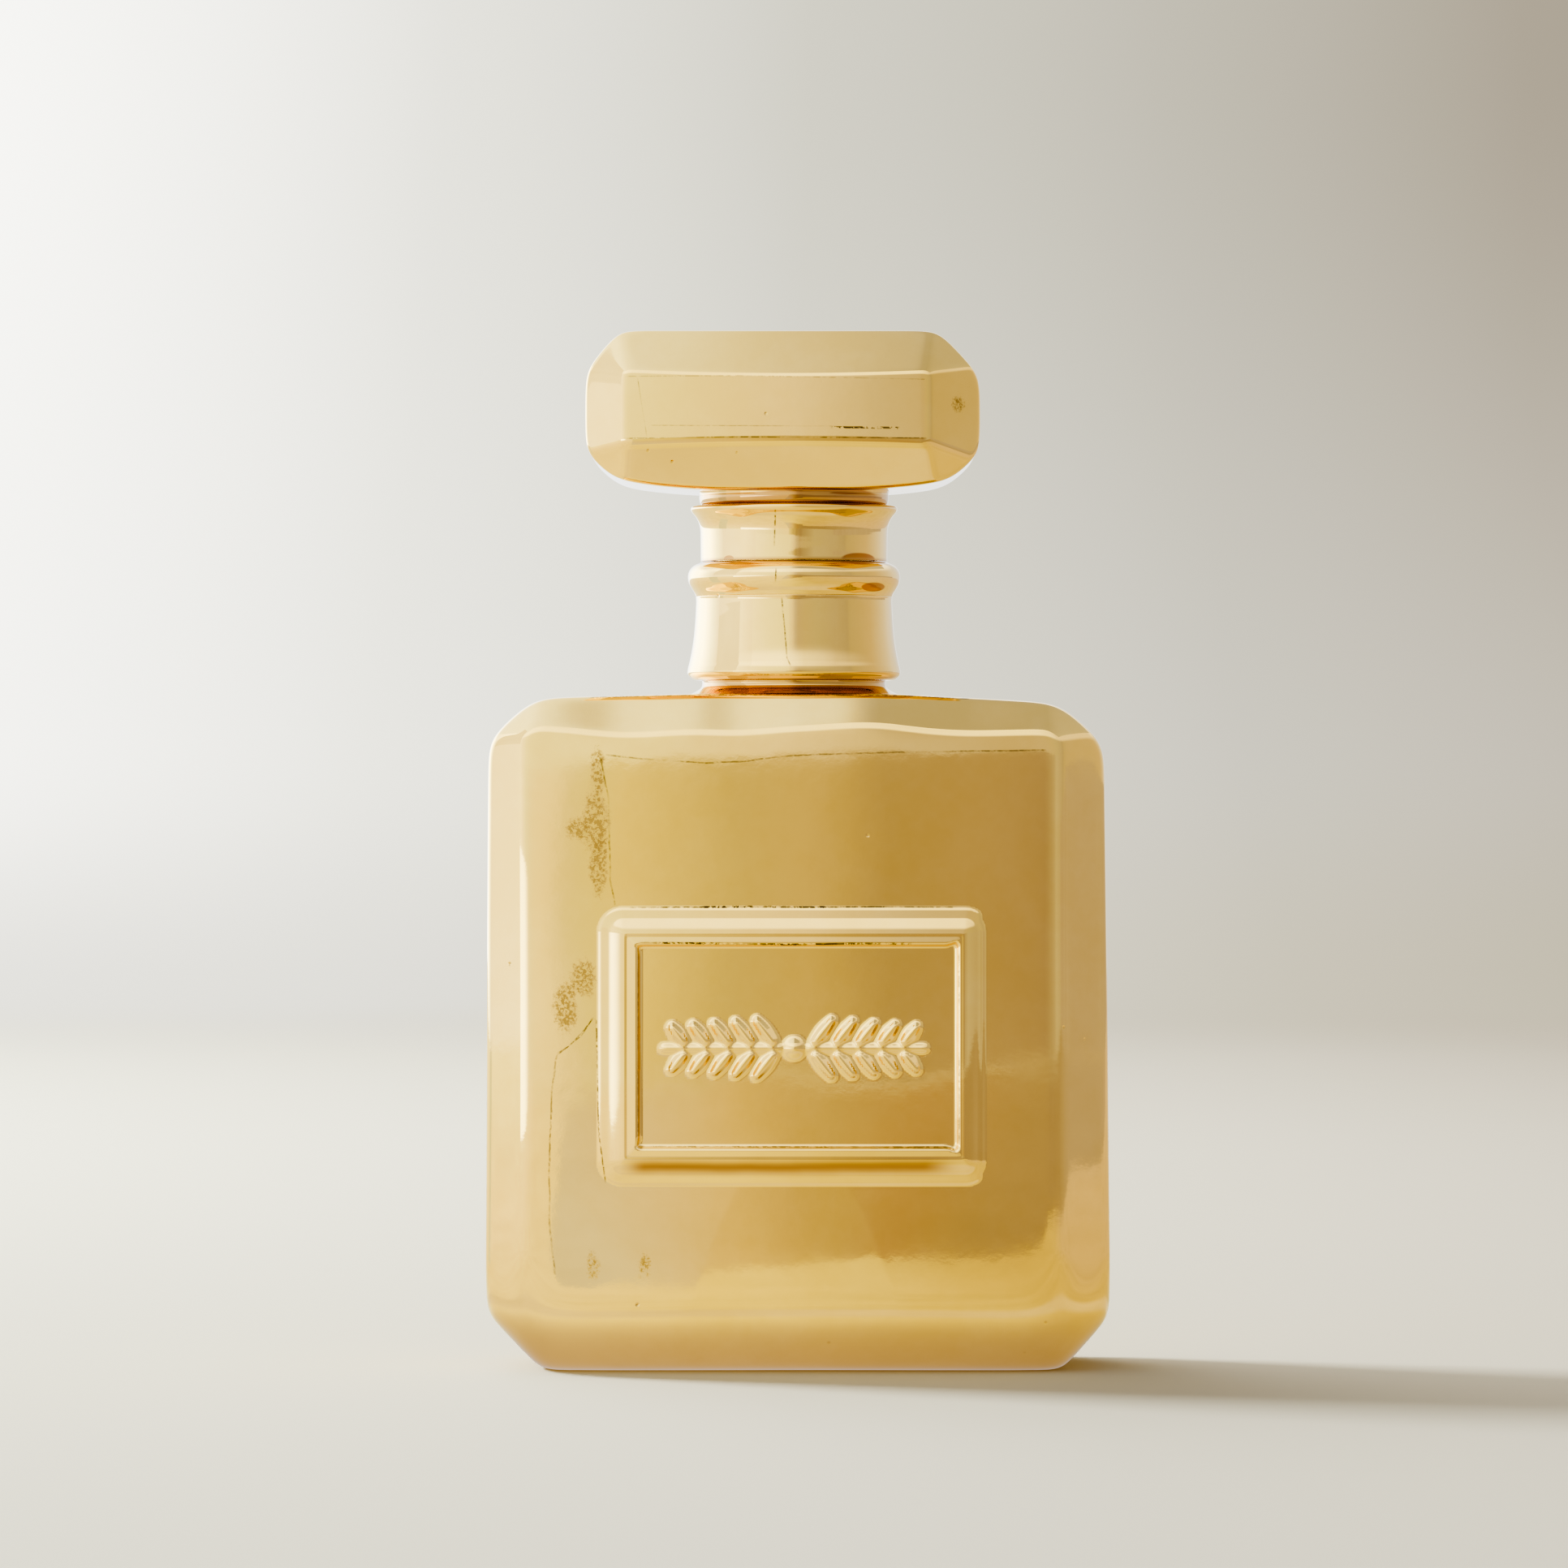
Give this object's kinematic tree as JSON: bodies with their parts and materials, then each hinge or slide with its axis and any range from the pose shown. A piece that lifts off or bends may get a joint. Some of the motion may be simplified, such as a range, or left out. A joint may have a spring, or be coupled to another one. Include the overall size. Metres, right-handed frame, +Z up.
{
  "type": "perfume bottle",
  "caption": "Octagonal bevelled gold lustre flask with a raised front panel frame, round waisted neck collar, pull-off bevelled block cap and a fine-mist pump under it",
  "frame": {"origin": "centre of the base, on the surface the bottle stands on", "axes": "+Z up along the neck, -Y out of the front with the raised frame, +X to the right seen from the front"},
  "size_m": [0.086, 0.0411, 0.145],
  "materials": {
    "gold_lustre_glaze": "gloss",
    "gold_band": "polished",
    "gold_sleeve": "polished",
    "pp_natural": "satin",
    "pom_white": "satin",
    "pe_piston": "matte",
    "ferrule": "satin",
    "gasket": "matte",
    "steel": "polished",
    "dip": "gloss",
    "cap_plastic": "satin"
  },
  "bodies": {
    "flask": {"flask": "gold_lustre_glaze", "neck_gasket": "gasket", "crimp_ferrule": "ferrule", "pump_housing": "pp_natural", "pump_closure": "pom_white", "stem_gasket": "gasket", "dip_tube": "dip", "collar_insert": "pp_natural", "collar_sleeve": "gold_sleeve", "collar_band": "gold_band", "collar_bead": "gold_band", "return_spring": "steel"},
    "inlet_valve": {"inlet_ball": "steel"},
    "plunger": {"stem": "pom_white", "piston": "pe_piston"},
    "button": {"button_core": "pom_white", "button_sleeve": "gold_sleeve", "nozzle_insert": "pom_white"},
    "cap": {"cap_shell": "gold_lustre_glaze", "cap_skirt": "gold_band", "cap_liner": "cap_plastic", "cap_weight": "steel"}
  },
  "joints": [
    {"name": "cap_lift", "type": "slide", "parent": "flask", "child": "cap", "axis": [0, 0, 1], "range_m": [0, 0.045]},
    {"name": "pump_press", "type": "slide", "parent": "flask", "child": "plunger", "axis": [0, 0, -1], "range_m": [0, 0.0045], "stiffness_N_per_m": 1500, "springref_m": -0.004, "deforming": ["return_spring"]},
    {"name": "button_turn", "type": "hinge", "parent": "plunger", "child": "button", "pos_m": [0, 0, 0.118], "axis": [0, 0, 1], "continuous": true},
    {"name": "inlet_valve_lift", "type": "slide", "parent": "flask", "child": "inlet_valve", "axis": [0, 0, 1], "range_m": [0, 0.0007]}
  ]
}
